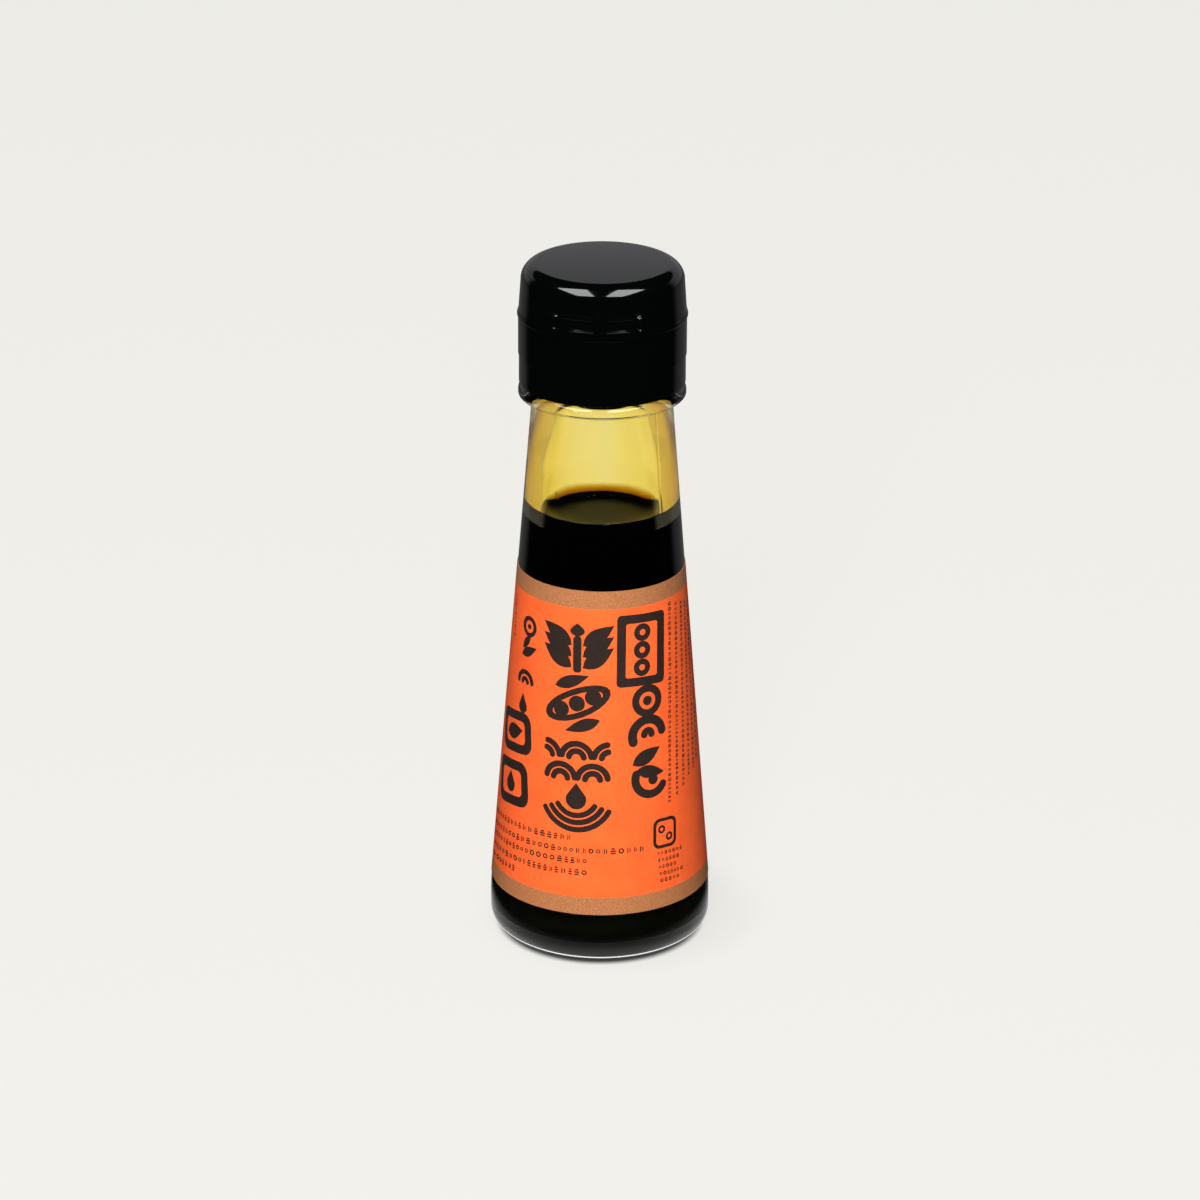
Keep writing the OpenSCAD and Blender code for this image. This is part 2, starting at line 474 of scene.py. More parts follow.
def turned(outline, angles, shape=None, closed_loop=False):
    """Turn an outline about the axis. Angle 0 faces -Y and 90 faces +X."""
    mesh = bmesh.new()
    rings = []
    for r, z in outline:
        if r < 1e-6:
            rings.append([mesh.verts.new((0, 0, z * MM))])
            continue
        ring = []
        for angle in angles:
            ring_r, ring_z = shape(r, z, angle) if shape else (r, z)
            turn = math.radians(angle)
            place = (ring_r * math.sin(turn), -ring_r * math.cos(turn), ring_z)
            ring.append(mesh.verts.new([v * MM for v in place]))
        rings.append(ring)
    pairs = list(zip(rings, rings[1:]))
    if closed_loop:
        pairs.append((rings[-1], rings[0]))
    for low, high in pairs:
        for i in range(len(angles)):
            j = (i + 1) % len(angles)
            if len(low) == 1 and len(high) > 1:
                mesh.faces.new((low[0], high[j], high[i]))
            elif len(high) == 1 and len(low) > 1:
                mesh.faces.new((low[i], low[j], high[0]))
            elif len(low) > 1:
                mesh.faces.new((low[i], low[j], high[j], high[i]))
    bmesh.ops.recalc_face_normals(mesh, faces=mesh.faces)
    return mesh


def add_piece(name, mesh, material, stands_for=(), crease=35):
    """Make the mesh an object that rides on the bottle's one body."""
    data = bpy.data.meshes.new(name)
    mesh.to_mesh(data)
    mesh.free()
    data.polygons.foreach_set("use_smooth", [True] * len(data.polygons))
    data.set_sharp_from_angle(angle=math.radians(crease))
    data.materials.append(material)
    piece = bpy.data.objects.new(name, data)
    bpy.context.scene.collection.objects.link(piece)
    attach(piece, "root")
    if stands_for:
        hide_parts(*stands_for)
    print(name, len(data.polygons), "faces")
    return piece


# %% [markdown]
# The glass is one blown piece: a cone with a round heel and a thick floor, a short upright band
# above the heel, and a collar under the cap. What makes it read as glass is its thickness, so both
# sides of the wall are modelled. The wall grows from the foot to the collar, and high in the neck
# the inside closes in gently to a narrow bore: a steeper step there would bend two bright windows
# into view. Blowing leaves the inner side slightly wavy, and the mould leaves a fine seam on two
# opposite sides.

# %% Glass sizes, in millimetres
CONE_SLOPE = 0.0797
HEEL_R = widest("bottle")
BAND_Z = 9.3
CONE_R0 = HEEL_R + CONE_SLOPE * BAND_Z
WALL_AT_FOOT = 2.3
WALL_AT_COLLAR = 4.1
COLLAR_Z = height_range("cap_base")[0] - 2.8
COLLAR_TOP = height_range("cap_base")[0]
COLLAR_R = 18.2
RIM_Z = height_range("bottle")[1]
MOUTH_R = 10.0
NARROW_Z, BORE_Z = 110.0, 126.0
SEAM_ANGLES = (53.0, 233.0)
SEAM_HEIGHT = 0.07
WAVE = 0.05


def cone_r(z):
    return CONE_R0 - CONE_SLOPE * z


def wall(z):
    return WALL_AT_FOOT + (WALL_AT_COLLAR - WALL_AT_FOOT) * z / COLLAR_Z


def inner_r(z):
    """Radius of the inside, which narrows to a straight bore in the upper neck."""
    narrowed = between(z, NARROW_Z, BORE_Z)
    return (cone_r(z) - wall(z)) * (1 - narrowed) + MOUTH_R * narrowed


def wave(angle, z):
    """Slow unevenness of the blown inner side."""
    turn = math.radians(angle)
    place = Vector((2.2 * math.sin(turn), 2.2 * math.cos(turn), z / 18))
    return WAVE * noise.noise(place)


def seam(angle):
    """Height of the mould's seam at this angle."""
    away = min(abs((angle - s + 180) % 360 - 180) for s in SEAM_ANGLES)
    return SEAM_HEIGHT * math.exp(-((away / 0.8) ** 2))


print("inner radius at the neck", round(inner_r(110), 2), "mm")

# %% Glass outline
FLOOR_Z = 4.6
FLOOR_FILLET = 3.5
INNER_TILT = math.degrees(math.atan(CONE_SLOPE + (WALL_AT_COLLAR - WALL_AT_FOOT) / COLLAR_Z))
floor_turn = FLOOR_FILLET / math.tan(math.radians((90 - INNER_TILT) / 2))
floor_flat_r = inner_r(FLOOR_Z) - floor_turn
HEEL_FILLET = 4.9
HOLLOW_R, HOLLOW_RISE = 17.2, 1.6
INSIDE_STEP = 0.9
BLEND_R = 60.0
CONE_TILT = math.degrees(math.atan(CONE_SLOPE))
blend_half = BLEND_R * math.tan(math.radians(CONE_TILT / 2))


def floor_outline():
    """Inside of the bottle, from the axis to the top of its rounded lower corner."""
    return bulge(FLOOR_Z, floor_flat_r, 0.8) + arc(
        floor_flat_r, FLOOR_Z + FLOOR_FILLET, FLOOR_FILLET, -90, INNER_TILT, 14
    )


def glass_outside():
    """Outer outline, from the middle of the hollow foot up to the collar's top."""
    foot = bulge(0, HOLLOW_R, HOLLOW_RISE)
    foot += arc(HEEL_R - HEEL_FILLET, HEEL_FILLET, HEEL_FILLET, -90, 0, 24)
    band = arc(HEEL_R - BLEND_R, BAND_Z - blend_half, BLEND_R, 0, CONE_TILT, 10)
    crease_r = cone_r(COLLAR_Z - 0.4) + 0.4
    cone = fine_line(band[-1], (cone_r(COLLAR_Z - 0.4), COLLAR_Z - 0.4), 90)
    collar = (
        arc(crease_r, COLLAR_Z - 0.4, 0.4, 180, 90, 5)[1:]
        + arc(COLLAR_R - 0.4, COLLAR_Z + 0.4, 0.4, -90, 0, 6)
        + arc(COLLAR_R - 1.9, COLLAR_TOP - 1.9, 1.9, 0, 90, 16)
    )
    return foot + band + cone + collar


def glass_rim():
    """The plain ring inside the cap, up over the rim and down into the mouth."""
    return (
        [(14.6, COLLAR_TOP)]
        + arc(14.0, RIM_Z - 0.6, 0.6, 0, 90, 5)
        + arc(MOUTH_R + 0.6, RIM_Z - 0.6, 0.6, 90, 180, 5)
    )


def glass_inside():
    """Inner outline, from the mouth down to the floor's middle."""
    steps = int((COLLAR_TOP - FLOOR_Z - FLOOR_FILLET - 1) / INSIDE_STEP)
    heights = [COLLAR_TOP - INSIDE_STEP * i for i in range(steps)]
    return [(inner_r(z), z) for z in heights] + list(reversed(floor_outline()))


def glass_shape(r, z, angle):
    """Add the seam outside and the waves inside."""
    on_outside = abs(r - cone_r(z)) < 0.8 and BAND_Z < z < COLLAR_Z
    on_inside = abs(r - inner_r(z)) < 0.3 and FLOOR_Z + FLOOR_FILLET + 1 < z < COLLAR_TOP
    if on_outside:
        return r + seam(angle), z
    if on_inside:
        return r + wave(angle, z), z
    return r, z


glass_mesh = turned(
    glass_outside() + glass_rim() + glass_inside(),
    even_angles(180, SEAM_ANGLES),
    glass_shape,
)

# %% [markdown]
# Clear glass takes hardly any colour, only a slow ripple from the mould, and the ring it stands on
# is scuffed matt. High in the neck, real bottles show dark edges where the wall bends in dark parts
# of the room. The set above doesn't give enough of that, so the glass is painted darker there: a
# Layer Weight node finds where it is seen at a flat angle. That is a stand-in and not how glass
# works, and it is kept to the upper neck.

# %% Glass finish
glass_material, start = new_material("bottle_glass")
point = start.place()
ripple = point.cloud(9, 1.0, 0.4, (1, 1, 0.4))
foot_r = point.node("ShaderNodeVectorMath", {"operation": "LENGTH"}, {0: point}, "Value")
frosted = (1 - foot_r.rise(0.0196, 0.0204)) * (1 - point.part("Z").rise(0.0017, 0.0022))
facing = point.node("ShaderNodeLayerWeight", sockets={"Blend": 0.5}, output="Facing")
dark_edge = facing.rise(0.50, 0.74) * point.part("Z").rise(0.107, 0.117)
finish_surface(
    start,
    Base_Color=dark_edge.blend((0.99, 1.0, 0.995, 1), (0.36, 0.35, 0.33, 1)),
    Roughness=frosted * 0.45,
    IOR=1.5,
    Transmission_Weight=1.0,
    Normal=ripple.bump(0.02, 0.5),
)
add_piece("glass_bottle", glass_mesh, glass_material, ["bottle"])

# %% [markdown]
# Soy sauce looks black in a bottle, but it is a deep red-brown liquid: where it is only a few
# millimetres deep, light comes through red, then orange, then yellow. At the wall it climbs by
# surface tension, and that thin wedge shows all of these colours. A painted gradient would only be
# right from one side. So the uppermost millimetres are a see-through liquid whose absorption does
# the work. Everything below is an opaque near-black, a stand-in: a see-through liquid all the way
# down mirrors the pale set where it meets the glass, and turns the bottle's sides grey. Near the
# foot the black is painted a little lighter and olive: painted light for the light that reaches it
# through the thick glass of the heel. The sauce reaches a little into the wall, so that no film of
# air shows between them.

# %% Sauce
CONTACT_Z = height_range("soy_sauce")[1]
CLIMB = 2.4
CLIMB_REACH = 1.7
LEVEL_Z = CONTACT_Z - CLIMB
INTO_WALL = 0.2
CLEAR_DEPTH = 3.0


def sauce_outline():
    """From the floor's middle, up the wall, and along the curved surface to the axis."""
    floor = [(r + (INTO_WALL if r > floor_flat_r else 0), z) for r, z in floor_outline()]
    floor = [(r, z - INTO_WALL) for r, z in floor]
    top_r = inner_r(CONTACT_Z)
    side = fine_line(floor[-1], (top_r + INTO_WALL, CONTACT_Z), 60)
    surface = []
    for i in range(41):
        from_wall = top_r * (i / 40) ** 2
        climb = CLIMB * math.exp(-from_wall / CLIMB_REACH)
        surface.append((top_r - from_wall, LEVEL_Z + climb))
    surface[-1] = (0, LEVEL_Z)
    return floor + side + surface


sauce_material, start = new_material("soy_sauce")
depth = start.node(
    "ShaderNodeVolumeAbsorption", sockets={"Color": (0.85, 0.70, 0.0, 1), "Density": 3000.0}
)
ripple = start.place().cloud(3, 1.0)
finish_surface(
    start,
    Base_Color=(1, 1, 1, 1),
    Roughness=0.0,
    IOR=1.37,
    Transmission_Weight=1.0,
    Normal=ripple.bump(0.01, 0.3),
    Volume=depth,
)
deep_material, start = new_material("soy_sauce_deep")
# Painted light: the opaque sauce is lighter and olive near the foot, for light through the heel.
painted_light_near_foot = 1 - start.place().part("Z").rise(0.010, 0.040)
finish_surface(
    start,
    Base_Color=painted_light_near_foot.blend((0.0006, 0.0004, 0.0003, 1), (0.010, 0.0112, 0.005, 1)),
    Roughness=0.2,
    Specular_IOR_Level=0.0,
)
sauce = add_piece(
    "soy_sauce_body", turned(sauce_outline(), even_angles(180)), sauce_material,
    ["soy_sauce"],
)
sauce.data.materials.append(deep_material)
for face in sauce.data.polygons:
    below = face.center.z < (CONTACT_Z - CLEAR_DEPTH) * MM
    face.material_index = 1 if below and face.normal.z < 0.3 else 0

# %% [markdown]
# The clear neck above the sauce isn't colourless: the last shake left a thin amber film on the
# inside. Seen through two walls it turns the pale floor behind it yellow. It is a thin closed shell
# that reaches into the glass, with the index of a watery liquid. Its colour could be painted on the
# glass, but a film that swallows light is deeper in colour low down and at the sides by itself,
# since it is thicker there.

# %% Amber film
FILM_LOW, FILM_HIGH = CONTACT_Z + 0.02, COLLAR_Z + 1.5
FILM_INTO_WALL = 0.06


def film_depth(angle, z):
    """Thickness of the film: thicker low down, with slow vertical runs."""
    turn = math.radians(angle)
    up = (z - FILM_LOW) / (FILM_HIGH - FILM_LOW)
    runs = noise.noise(Vector((3 * math.sin(turn), 3 * math.cos(turn), z / 30 + 7)))
    at_sides = 0.5 - 0.5 * math.cos(2 * turn)
    return (0.122 - 0.035 * up + 0.03 * runs) * (1 + 0.5 * at_sides)


def film_shape(r, z, angle):
    """The outline's radius is 1 on the outer side of the film and 0 on the inner side."""
    on_glass = inner_r(z) + wave(angle, z)
    return (on_glass + FILM_INTO_WALL if r > 0.5 else on_glass - film_depth(angle, z)), z


film_heights = [FILM_LOW + (FILM_HIGH - FILM_LOW) * i / 26 for i in range(27)]
film_outline = [(1.0, z) for z in film_heights] + [(0.1, z) for z in reversed(film_heights)]
film_material, start = new_material("amber_film")
stain = start.node(
    "ShaderNodeVolumeAbsorption", sockets={"Color": (0.99, 0.85, 0.005, 1), "Density": 4400.0}
)
finish_surface(
    start, Base_Color=(1, 1, 1, 1), Roughness=0.0, IOR=1.36, Transmission_Weight=1.0, Volume=stain
)
add_piece(
    "amber_film", turned(film_outline, even_angles(144), film_shape, True),
    film_material,
)

# %% [markdown]
# The label is stiff paper wrapped round the cone, printed a warm orange with a bronze band along
# each edge. On a cone such a label is cut as a flat fan. The colours come from height, so the bands
# follow the label's edges. A fine grain breaks up both: in the orange it is matt, and in the bronze
# it glints, because that ink carries metal flakes.

# %% Label paper
LABEL_LOW, LABEL_HIGH = height_range("label")
PAPER = 0.15
LABEL_GAP = 30.0
BAND_WIDTH = 4.0
label_angles = [-(180 - LABEL_GAP / 2) + (360 - LABEL_GAP) * i / 220 for i in range(221)]


def wrapped_sheet(low, high, thickness, angles):
    """A closed sheet on the cone between two heights, with square edges."""
    mesh = bmesh.new()
    rows = []
    steps = 24
    for lift in (0.0, thickness):
        for i in range(steps + 1):
            z = low + (high - low) * i / steps
            row = []
            for angle in angles:
                turn = math.radians(angle)
                r = cone_r(z) + lift + seam(angle)
                place = (r * math.sin(turn), -r * math.cos(turn), z)
                row.append(mesh.verts.new([v * MM for v in place]))
            rows.append(row)
    inner, outer = rows[:steps + 1], rows[:steps:-1]
    loop = inner + outer
    for first, second in zip(loop, loop[1:] + loop[:1]):
        for i in range(len(angles) - 1):
            mesh.faces.new((first[i], first[i + 1], second[i + 1], second[i]))
    for end in (0, -1):
        for i in range(steps):
            mesh.faces.new((inner[i][end], inner[i + 1][end], outer[-2 - i][end], outer[-1 - i][end]))
    bmesh.ops.recalc_face_normals(mesh, faces=mesh.faces)
    return mesh


paper_material, start = new_material("label_paper")
point = start.place()
z = point.part("Z")
low_band = 1 - z.rise((LABEL_LOW + BAND_WIDTH - 0.08) * MM, (LABEL_LOW + BAND_WIDTH + 0.08) * MM)
high_band = z.rise((LABEL_HIGH - BAND_WIDTH - 0.08) * MM, (LABEL_HIGH - BAND_WIDTH + 0.08) * MM)
bronze = low_band.larger(high_band)
grain = point.cloud(0.28, 3.0, 0.7)
fleck = point.cloud(0.16, 2.0, 0.6)
mottle = point.cloud(6, 3.0, 0.6)
tone = (grain * 0.6 + mottle * 0.4).rise(0.3, 0.7)
orange = tone.blend((0.78, 0.097, 0.018, 1), (0.92, 0.130, 0.028, 1))
metal = fleck.rise(0.3, 0.72).blend((0.36, 0.13, 0.05, 1), (0.72, 0.29, 0.115, 1))
finish_surface(
    start,
    Base_Color=bronze.blend(orange, metal),
    Metallic=bronze * 0.35,
    Roughness=0.55 - bronze * 0.15 + grain * 0.1,
    Specular_IOR_Level=0.22,
    Normal=grain.bump(0.02, 0.4),
)
add_piece(
    "paper_label", wrapped_sheet(LABEL_LOW, LABEL_HIGH, PAPER, label_angles), paper_material,
    ["label"],
)

# %% [markdown]
# The label's print is made of simple shapes in one dark ink. Each shape is drawn flat, in
# millimetres from the label's centre line and lower edge, cut into strips about a millimetre wide
# so that it can bend, and then rolled on to the cone with a little thickness of its own.

# %% Rolling flat shapes on to the cone
TIP_ANGLE = math.atan(CONE_SLOPE)
FAN_R = cone_r(LABEL_LOW) / math.sin(TIP_ANGLE)
INK_SUNK, INK_PROUD = 0.03, 0.035


def on_label(x, y, lift):
    """The place on the cone of a point of the flat label."""
    fan = math.hypot(x, FAN_R - y)
    turn = math.atan2(x, FAN_R - y) / math.sin(TIP_ANGLE)
    r = fan * math.sin(TIP_ANGLE)
    z = (CONE_R0 - r) / CONE_SLOPE
    r += PAPER + lift + seam(math.degrees(turn))
    return Vector((r * math.sin(turn), -r * math.cos(turn), z)) * MM


def flat_faces(mesh, loops):
    """Fill one outline, with any further outlines as holes in it."""
    edges = []
    for loop in loops:
        corners = [mesh.verts.new((x, y, 0)) for x, y in loop]
        edges += [mesh.edges.new(pair) for pair in zip(corners, corners[1:] + corners[:1])]
    bmesh.ops.triangle_fill(mesh, use_beauty=True, edges=edges)


def printed(shapes, strip=1.0):
    """Roll shapes, each a list of outlines, on to the label as thin closed ink."""
    mesh = bmesh.new()
    for loops in shapes:
        flat_faces(mesh, loops)
    xs = [v.co.x for v in mesh.verts]
    ys = [v.co.y for v in mesh.verts]
    for axis, low, high in ((0, min(xs), max(xs)), (1, min(ys), max(ys))):
        step = strip if axis == 0 else 4.0
        normal = (1, 0, 0) if axis == 0 else (0, 1, 0)
        for i in range(1, int((high - low) / step) + 1):
            place = [0, 0, 0]
            place[axis] = low + step * i
            geometry = mesh.verts[:] + mesh.edges[:] + mesh.faces[:]
            bmesh.ops.bisect_plane(mesh, geom=geometry, plane_co=place, plane_no=normal)
    grown = bmesh.ops.extrude_face_region(mesh, geom=mesh.faces[:])["geom"]
    raised = {v for v in grown if isinstance(v, bmesh.types.BMVert)}
    for v in mesh.verts:
        v.co = on_label(v.co.x, v.co.y, INK_PROUD if v in raised else -INK_SUNK)
    bmesh.ops.recalc_face_normals(mesh, faces=mesh.faces)
    return mesh


print("fan radius", round(FAN_R, 1), "mm")

# %% Flat shapes


def spin(points, x, y, degrees):
    """Turn points about the origin and move them to x, y."""
    c, s = math.cos(math.radians(degrees)), math.sin(math.radians(degrees))
    return [(x + c * u - s * v, y + s * u + c * v) for u, v in points]


def disc(x, y, radius, squash=1.0, steps=24):
    return [(x + radius * math.cos(2 * math.pi * i / steps),
             y + squash * radius * math.sin(2 * math.pi * i / steps)) for i in range(steps)]


def ring(x, y, outer, inner, squash=1.0):
    return [disc(x, y, outer, squash), disc(x, y, inner, squash)]


def box_outline(x, y, width, height, corner, tilt=0.0):
    """A rectangle with round corners, about its centre."""
    points = []
    for n, (sx, sy) in enumerate(((1, 1), (-1, 1), (-1, -1), (1, -1))):
        points += arc(sx * (width / 2 - corner), sy * (height / 2 - corner), corner,
                      90 * n, 90 * n + 90, 5)
    return spin(points, x, y, tilt)


def bow(x, y, radius, width, first, last):
    """A stroke along an arc, with round ends."""
    outer = arc(x, y, radius + width / 2, first, last, 18)
    inner = arc(x, y, radius - width / 2, last, first, 18)
    ends = []
    for degrees, turn in ((last, 0), (first, 180)):
        a = math.radians(degrees)
        centre = (x + radius * math.cos(a), y + radius * math.sin(a))
        ends.append(arc(*centre, width / 2, degrees + turn, degrees + turn + 180, 6)[1:-1])
    return outer + ends[0] + inner + ends[1]


def leaf(x, y, length, width, degrees):
    """A pointed leaf that grows from x, y."""
    side = [(length * i / 8, width / 2 * math.sin(math.pi * (i / 8) ** 0.8)) for i in range(9)]
    other = [(u, -v) for u, v in reversed(side[1:-1])]
    return spin(side + other, x, y, degrees)


def drop(x, y, height, width):
    """A drop that stands on its round end, about its centre."""
    low = y - height / 2 + width / 2
    return [(x, y + height / 2)] + arc(x, low, width / 2, 160, 380, 20)


print("flat shapes ready")

# %% [markdown]
# The print is laid out in blocks: a broad column of four emblems down the middle, a framed panel
# with a short column under it on the right, lighter emblems and two heavy ones on the left, and
# rows of small marks in place of the small print. All of them are plain signs for what goes into
# the sauce: an ear of wheat, beans, waves, a drop.

# %% Main column


def wheat_ear(x, y, height, width):
    """A stem with pairs of leaves and one on top."""
    base = y - height / 2
    shapes = [[box_outline(x, y - height * 0.12, width * 0.12, height * 0.76, width * 0.05)]]
    for n in range(3):
        foot = base + height * (0.10 + 0.23 * n)
        for side in (35, 145):
            away = 0.02 * width * (1 if side < 90 else -1)
            shapes.append([leaf(x + away * 4, foot, width * 0.53, width * 0.23, side)])
    shapes.append([leaf(x, y + height * 0.24, height * 0.28, width * 0.21, 90)])
    return shapes


def bean_pod(x, y, height, width):
    """A leaning pod with three beans in it and a small leaf above."""
    tilt = 24
    outer = spin(disc(0, 0, width * 0.53, 0.42), x, y, tilt)
    inner = spin(disc(0, 0, width * 0.41, 0.32), x, y, tilt)
    shapes = [[outer, inner]]
    for n in (-1, 0, 1):
        (bean_x, bean_y), = spin([(n * width * 0.26, 0)], x, y, tilt)
        shapes.append([disc(bean_x, bean_y, width * 0.122)])
    shapes.append([leaf(x - width * 0.34, y + height * 0.28, width * 0.55, height * 0.22, 20)])
    shapes.append([leaf(x + width * 0.34, y - height * 0.28, width * 0.55, height * 0.22, 200)])
    return shapes


def wave_scales(x, y, height, width):
    """Overlapping rows of bowed lines."""
    shapes = []
    r = width * 0.25
    for row_x, row_y in ((-r, 0.0), (r, 0.0), (0.0, 1.0), (-2 * r, 1.0), (2 * r, 1.0)):
        foot = y - height / 2 + row_y * height * 0.5
        first, last = 8, 172
        if abs(row_x) >= 1.5 * r:
            first, last = (8, 82) if row_x < 0 else (98, 172)
        for share in (0.92, 0.46):
            shapes.append([bow(x + row_x, foot, r * share, width * 0.095, first, last)])
    return shapes


def drop_and_ripples(x, y, height, width):
    """A drop over widening ripples."""
    shapes = [[drop(x, y + height * 0.22, height * 0.56, height * 0.42)]]
    for share in (0.32, 0.47, 0.62):
        radius = height * share + height * 0.12
        spread = 12 * share
        shapes.append([bow(x, y + height * 0.25, radius, height * 0.115, 215 - spread, 325 + spread)])
    return shapes


ink_material, start = new_material("label_ink")
point = start.place()
speckle = point.cloud(0.25, 2.0, 0.6)
finish_surface(
    start,
    Base_Color=speckle.rise(0.3, 0.8).blend((0.016, 0.010, 0.008, 1), (0.034, 0.020, 0.015, 1)),
    Roughness=0.42 + speckle * 0.12,
    Specular_IOR_Level=0.35,
    Normal=speckle.bump(0.008, 0.4),
)

COLUMN_X = -3.8
main_shapes = (
    wheat_ear(COLUMN_X, 61.6, 11.0, 15.5)
    + bean_pod(COLUMN_X, 49.0, 13.0, 15.0)
    + wave_scales(COLUMN_X, 36.4, 10.0, 14.5)
    + drop_and_ripples(COLUMN_X, 25.2, 11.0, 15.5)
)
add_piece("label_print_main_column", printed(main_shapes), ink_material)

# %% Framed panel and right column
panel_shapes = [[box_outline(10.6, 61.0, 11.6, 16.4, 1.0), box_outline(10.6, 61.0, 7.6, 12.4, 0.5)]]
panel_shapes += [ring(10.6, 61.0 + 4.0 * n, 2.0, 0.7) for n in (-1, 0, 1)]
panel_shapes += [ring(12.0, 49.2, 3.7, 2.0), [disc(12.0, 49.2, 1.1)]]
panel_shapes += [[bow(12.2, 41.2, 3.7, 2.1, 10, 200)], [bow(12.2, 41.4, 0.9, 1.6, 0, 180)]]
panel_shapes += [[leaf(8.6, 34.6, 7.6, 3.4, 28)], [leaf(9.4, 33.2, 7.2, 3.0, -8)]]
panel_shapes += [[bow(13.0, 31.2, 3.7, 1.9, 160, 330)], [disc(13.6, 30.8, 1.2)]]
add_piece("label_print_panel", printed(panel_shapes), ink_material)

# %% Left emblems
left_shapes = [ring(-16.6, 64.2, 2.4, 1.4), [disc(-16.6, 64.2, 0.6)]]
left_shapes += [[leaf(-19.2, 57.4, 5.6, 2.2, 24)], [leaf(-18.8, 58.9, 4.8, 1.7, 52)]]
left_shapes += [[bow(-17.8, 51.2, 2.4, 1.1, 5, 175)], [bow(-17.8, 51.2, 0.9, 1.0, 5, 175)]]
left_shapes += [[drop(-18.4, 46.3, 4.6, 2.9)]]
left_shapes += [
    [box_outline(-21.6, 39.0, 12.6, 9.6, 2.6, 4), box_outline(-21.6, 39.0, 8.4, 5.4, 1.2, 4)],
    [leaf(-24.9, 38.2, 6.8, 3.6, 14)],
]
left_shapes += [
    [box_outline(-22.6, 27.0, 13.0, 10.4, 2.6, 4), box_outline(-22.6, 27.0, 8.6, 6.0, 1.2, 4)],
    [drop(-22.6, 27.2, 5.0, 3.6)],
]
add_piece("label_print_left", printed(left_shapes), ink_material)

# %% [markdown]
# Small print becomes rows of tiny marks: short bars, pairs of bars and dots, none of them a letter.
# Their widths come from a seeded random generator, so every run prints the same rows.

# %% Small marks
marks_random = random.Random(7)


def small_marks(x, y, length, size, upright=False):
    """A row of tiny marks that starts at x, y and runs to the right, or down if upright."""
    shapes = []
    along = 0.0
    while along < length:
        width = size * marks_random.uniform(0.55, 0.95)
        kind = marks_random.randrange(3)
        middle = along + width / 2
        centre = (x, y - middle) if upright else (x + middle, y)
        across = (size, width) if upright else (width, size)
        if kind == 0:
            shapes.append([box_outline(*centre, across[0] * 0.9, across[1] * 0.22, 0.04)])
            shapes.append([box_outline(centre[0], centre[1] + across[1] * 0.34,
                                       across[0] * 0.6, across[1] * 0.2, 0.04)])
            shapes.append([box_outline(centre[0], centre[1] - across[1] * 0.34,
                                       across[0] * 0.8, across[1] * 0.2, 0.04)])
        elif kind == 1:
            shapes.append(ring(*centre, min(across) * 0.46, min(across) * 0.24))
        else:
            shapes.append([box_outline(centre[0] - across[0] * 0.2, centre[1],
                                       across[0] * 0.2, across[1] * 0.8, 0.04)])
            shapes.append([box_outline(centre[0] + across[0] * 0.22, centre[1],
                                       across[0] * 0.2, across[1] * 0.6, 0.04)])
        along += width + size * 0.28
    return shapes


row_shapes = []
for end_x, row_y in ((-5.6, 17.8), (10.7, 15.0), (-2.2, 12.6), (-2.2, 9.9), (-19.9, 7.4)):
    row_shapes += small_marks(-32.0, row_y, end_x + 32.0, 1.55)
for n in range(5):
    row_shapes += small_marks(14.9 + 0.2 * n, 13.2 - 1.6 * n, 6.6 - 1.0 * (n % 3), 1.0)
row_shapes += [[box_outline(17.0, 17.8, 6.4, 7.0, 1.6), box_outline(17.0, 17.8, 4.9, 5.5, 1.0)]]
row_shapes += [ring(16.0, 18.7, 0.95, 0.45), ring(18.1, 16.8, 0.95, 0.45)]
for n in range(6):
    row_shapes += small_marks(18.2 + 2.35 * n, 70.5 - 0.5 * n, 46.0 - 2.0 * n, 1.05, upright=True)
row_shapes += small_marks(-23.6, 69.5, 9.0, 1.0, upright=True)
add_piece("label_print_small_rows", printed(row_shapes, 2.0), ink_material)

# %% [markdown]
# The cap is moulded in glossy black plastic. The skirt is clamped over the glass and has one fine
# step in its side. The lid above it flares to a thin lip at the parting line, has a soft round top
# edge and a barely domed top, and grows a thumb tab at the front with a hollow above it. The lid is
# shut, and its hinge would be at the back, out of sight, so no hinge is made.

# %% Skirt
SKIRT_LOW, PARTING_Z = height_range("cap_base")
SKIRT_LOW_R, SKIRT_R = 18.05, 18.2
STEP_Z, STEP_OUT = SKIRT_LOW + 6.5, 0.18
SOCKET_R = 14.7


def skirt_outline():
    """A closed outline: under the skirt, up its side, over the deck and down the socket."""
    lower = [(SOCKET_R, SKIRT_LOW), (SKIRT_LOW_R - 0.5, SKIRT_LOW)]
    lower += arc(SKIRT_LOW_R - 0.35, SKIRT_LOW + 0.35, 0.35, -90, 0, 5)
    lower += fine_line(lower[-1], (SKIRT_R - STEP_OUT, STEP_Z), 10)
    step = [(SKIRT_R - 0.05, STEP_Z + 0.02), (SKIRT_R, STEP_Z + 0.08)]
    upper = fine_line(step[-1], (SKIRT_R, PARTING_Z - 0.3), 10)
    shoulder = arc(SKIRT_R - 0.3, PARTING_Z - 0.3, 0.3, 0, 90, 5)[1:]
    deck = [(8, PARTING_Z), (0, PARTING_Z), (0, RIM_Z), (SOCKET_R, RIM_Z)]
    return lower + step + upper + shoulder + deck


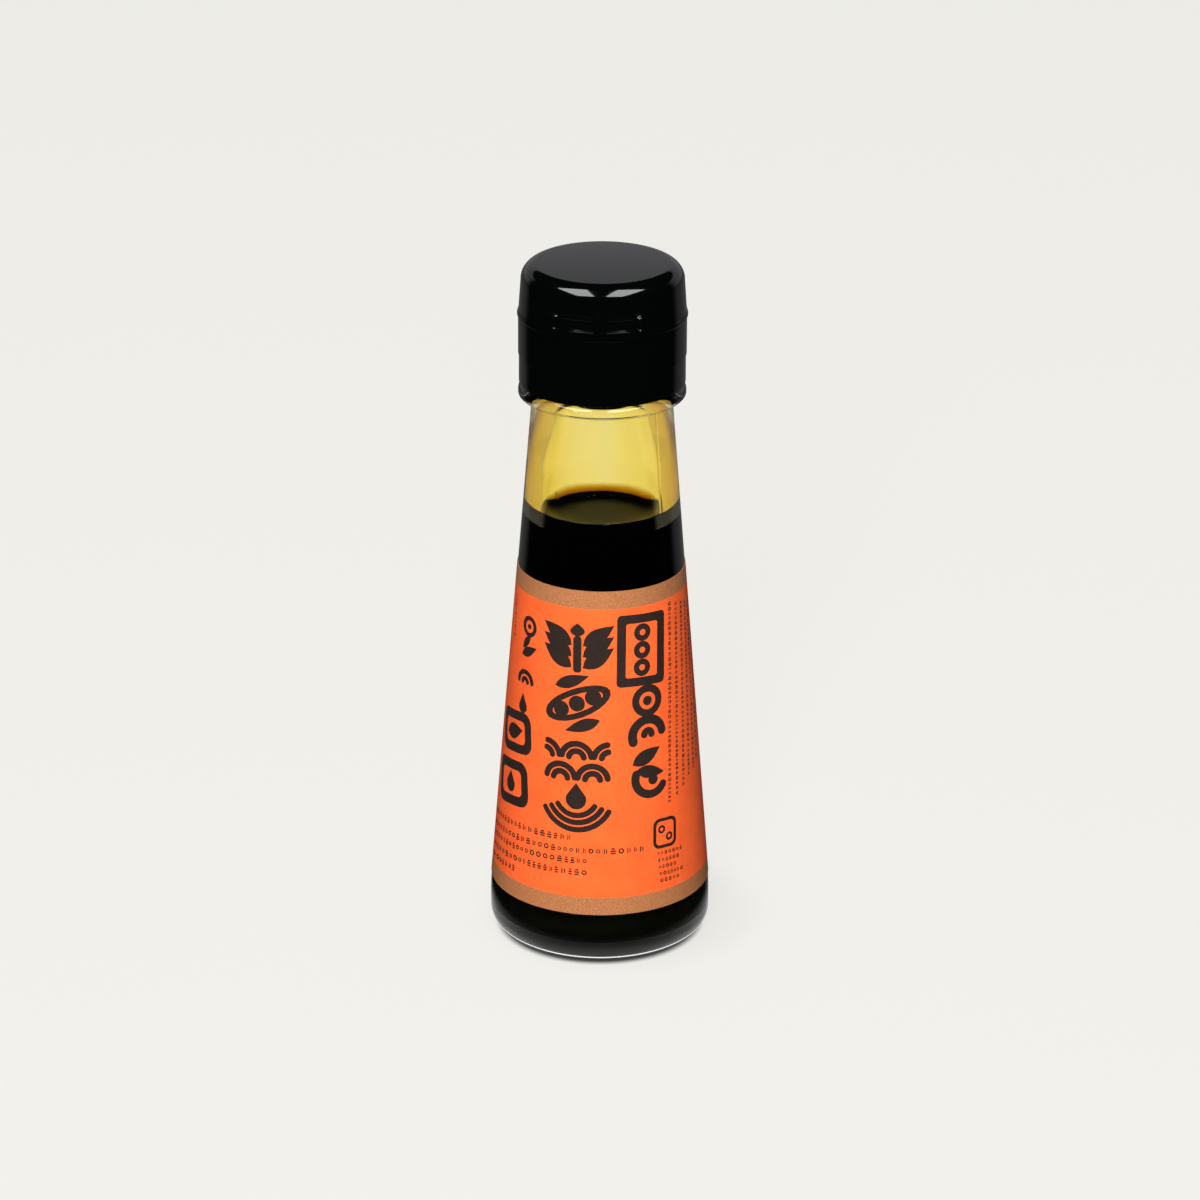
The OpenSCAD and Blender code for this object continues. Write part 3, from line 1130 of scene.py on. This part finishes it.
plastic_material, start = new_material("cap_plastic")
point = start.place()
peel = point.cloud(1.4, 2.0, 0.5)
haze = point.cloud(7, 4.0, 0.6)
dust = point.cloud(0.45, 1.0, 0.4).rise(0.80, 0.86)
scuff = point.cloud(0.5, 2.0, 0.6, (6, 0.5, 1)).rise(0.72, 0.84)
finish_surface(
    start,
    Base_Color=dust.blend((0.0006, 0.0009, 0.0008, 1), (0.03, 0.03, 0.028, 1)),
    Roughness=0.06 + haze * 0.05 + scuff * 0.08,
    Specular_IOR_Level=0.5,
    Normal=(peel + scuff * 0.3).bump(0.006, 0.5),
)
add_piece(
    "cap_skirt", turned(skirt_outline(), even_angles(180), closed_loop=True),
    plastic_material, ["cap_base"],
)

# %% Lid
LID_TOP = height_range("cap_lid")[1]
LIP_R, LIP_HEIGHT = 18.42, 1.7
LID_LOW_R, LID_HIGH_R = 18.08, 17.65
LID_FILLET, CROWN = 3.55, 0.35
TAB_R = -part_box("cap_lid")[0].y / MM
TAB_HALF, TAB_END = 31.5, 3.2
TAB_HEIGHT = 5.2


def lid_outline():
    """From the middle of the underside, out, up the side and over the crown."""
    lip = [(0, PARTING_Z), (9, PARTING_Z), (LIP_R - 0.35, PARTING_Z)]
    lip += arc(LIP_R - 0.3, PARTING_Z + 0.3, 0.3, -90, 0, 4)
    flare = [
        (LIP_R + (LID_LOW_R - LIP_R) * between(t, 0, 1), PARTING_Z + 0.3 + (LIP_HEIGHT - 0.3) * t)
        for t in [i / 12 for i in range(1, 13)]
    ]
    fillet_z = LID_TOP - CROWN - LID_FILLET
    side = fine_line(flare[-1], (LID_HIGH_R, fillet_z), 40)
    shoulder = arc(LID_HIGH_R - LID_FILLET, fillet_z, LID_FILLET, 0, 90, 24)[1:]
    crown = list(reversed(bulge(LID_TOP - CROWN, LID_HIGH_R - LID_FILLET, CROWN)))[1:]
    return lip + flare + side + shoulder + crown


def tab_reach(up, angle):
    """Radius of the thumb tab at this height above the parting line, or 0 where there is none."""
    off = abs((angle + 180) % 360 - 180)
    if off > TAB_HALF + 1.2 or up > TAB_HEIGHT:
        return 0.0
    edge = 1 - between(off, TAB_HALF - 0.6, TAB_HALF + 1.0)
    face = TAB_R - 0.25 * (1 - between(up, 0, 0.25)) - 0.12 * between(up, 2.0, 2.3)
    hollow_floor = 18.2 - 0.1 * between(up, 2.8, 4.4)
    drop_in = 1.0 if up > 2.3 else 0.0
    brow = 0.14 * between(up, 4.3, 4.5) * (1 - between(up, 4.65, 5.0))
    middle = face + (hollow_floor + brow - face) * drop_in
    end_wall = TAB_R - (TAB_R - 18.45) * max(0.0, min(1.0, (up - 2.2) / 2.5))
    end_wall += (17.9 - end_wall) * between(up, 4.6, 5.1)
    inside = 1 - between(off, TAB_HALF - TAB_END - 0.6, TAB_HALF - TAB_END + 0.4)
    reach = end_wall + (middle - end_wall) * inside
    return 17.6 + (reach - 17.6) * edge


def lid_shape(r, z, angle):
    """Push the side out where the thumb tab is."""
    up = z - PARTING_Z
    if r < LIP_R - 0.4 and up < 0.01:
        return r, z
    return max(r, tab_reach(up, angle)) if up < TAB_HEIGHT else r, z


lid_angles = sorted(
    {a for a in even_angles(150) if TAB_HALF + 3 < a < 360 - TAB_HALF - 3}
    | {round((-TAB_HALF - 3 + 0.5 * i) % 360, 3) for i in range(int(4 * TAB_HALF) + 13)}
)
add_piece(
    "flip_lid", turned(lid_outline(), lid_angles, lid_shape), plastic_material,
    ["cap_lid"], crease=50,
)
